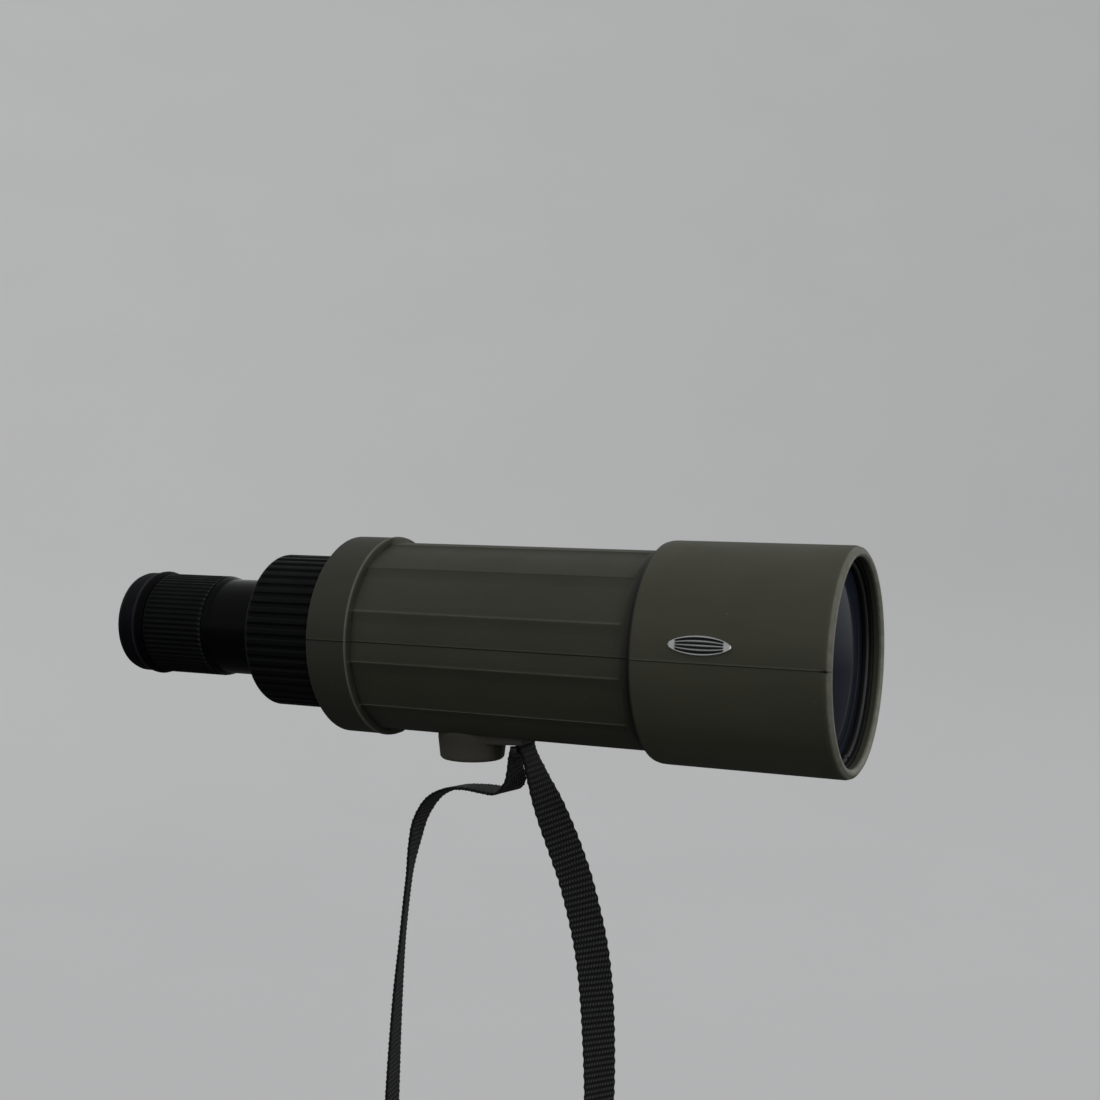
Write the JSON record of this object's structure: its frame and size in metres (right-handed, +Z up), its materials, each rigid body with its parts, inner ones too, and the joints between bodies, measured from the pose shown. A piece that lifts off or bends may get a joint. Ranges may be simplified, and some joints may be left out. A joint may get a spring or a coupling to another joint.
{
  "type": "spotting scope",
  "caption": "Draw-tube spotting scope with rubber-armoured fluted barrel, large objective hood, ribbed focus ring, zoom eyepiece, tripod foot and carrying strap",
  "frame": {"origin": "centre of the tripod foot's flat underside", "axes": "+X along the optical axis towards the objective, +Z up, so the optical axis runs 52 mm above the origin"},
  "size_m": [0.3495, 0.094, 0.4941],
  "materials": {
    "armour": "matt moulded olive-grey rubber armour with a fine grain",
    "foot_coat": "matt olive-grey coat",
    "badge_metal": "satin silver with dark edge",
    "grip_rubber": "matt black moulded rubber",
    "gloss_black": "polished black",
    "guide_plastic": "matt black acetal",
    "black_anodised": "matt black anodised",
    "black_wire": "black lacquered steel wire",
    "machined_aluminium": "fine turned",
    "steel_hardware": "turned steel",
    "optical_glass": "polished, coated",
    "coated_glass": "polished, blue multilayer coating",
    "webbing": "cross-ribbed black nylon webbing"
  },
  "bodies": {
    "barrel": {"barrel_armour": "armour", "barrel_front_bushing": "guide_plastic", "carry_strap": "webbing", "eye_lens": "optical_glass", "eye_lens_retainer": "black_anodised", "eyecup": "grip_rubber", "eyepiece_barrel": "gloss_black", "eyepiece_inner_tube": "machined_aluminium", "eyepiece_socket": "black_anodised", "eyepiece_top": "black_anodised", "field_lens": "optical_glass", "field_stop": "black_anodised", "foot_screw_front": "steel_hardware", "foot_screw_rear": "steel_hardware", "main_tube": "black_anodised", "prism_cage": "black_anodised", "prism_clamp": "steel_hardware", "prism_half_penta": "optical_glass", "prism_roof": "optical_glass", "rear_body": "black_anodised", "rear_body_screw_1": "steel_hardware", "rear_body_screw_2": "steel_hardware", "rear_body_screw_3": "steel_hardware", "strap_bar": "black_wire", "strap_wrap": "webbing", "tripod_foot": "foot_coat", "tripod_thread_insert": "steel_hardware"},
    "draw_section": {"hood_armour": "armour", "badge": "badge_metal", "objective_housing": "black_anodised", "objective_cell": "black_anodised", "objective_retaining_ring": "black_anodised", "objective_front_element": "coated_glass", "objective_rear_element": "optical_glass", "objective_spacer": "black_anodised", "draw_tube": "black_anodised", "draw_tube_rear_bushing": "guide_plastic", "draw_tube_baffle": "black_anodised"},
    "focus_ring": {"focus_ring_grip": "grip_rubber", "focus_ring_core": "machined_aluminium"},
    "focus_carriage": {"focus_carriage": "black_anodised", "focus_pin": "steel_hardware", "focus_lens": "optical_glass", "focus_lens_retainer": "black_anodised"},
    "zoom_ring": {"zoom_ring_grip": "grip_rubber", "zoom_cam_sleeve": "machined_aluminium"},
    "zoom_front_group": {"zoom_cell_front": "black_anodised", "zoom_lens_front": "optical_glass", "zoom_pin_front": "steel_hardware"},
    "zoom_rear_group": {"zoom_cell_rear": "black_anodised", "zoom_lens_rear": "optical_glass", "zoom_pin_rear": "steel_hardware"}
  },
  "joints": [
    {"name": "draw_slide", "type": "slide", "parent": "barrel", "child": "draw_section", "axis": [1, 0, 0], "range_m": [0, 0.1]},
    {"name": "focus_turn", "type": "hinge", "parent": "barrel", "child": "focus_ring", "pos_m": [-0.0783, 0, 0.052], "axis": [1, 0, 0], "range_deg": [-120, 120]},
    {"name": "focus_travel", "type": "slide", "parent": "barrel", "child": "focus_carriage", "axis": [1, 0, 0], "range_m": [-0.006, 0.006]},
    {"name": "zoom_turn", "type": "hinge", "parent": "barrel", "child": "zoom_ring", "pos_m": [-0.14415, 0, 0.052], "axis": [1, 0, 0], "range_deg": [0, 180]},
    {"name": "zoom_front_travel", "type": "slide", "parent": "barrel", "child": "zoom_front_group", "axis": [1, 0, 0], "range_m": [-0.008, 0]},
    {"name": "zoom_rear_travel", "type": "slide", "parent": "barrel", "child": "zoom_rear_group", "axis": [1, 0, 0], "range_m": [0, 0.0055]}
  ],
  "couplings": [
    {"joint": "focus_travel", "follows": "focus_turn", "m_per_rad": 0.0028648},
    {"joint": "zoom_front_travel", "follows": "zoom_turn", "m_per_rad": -0.0025465},
    {"joint": "zoom_rear_travel", "follows": "zoom_turn", "m_per_rad": 0.0017507}
  ]
}
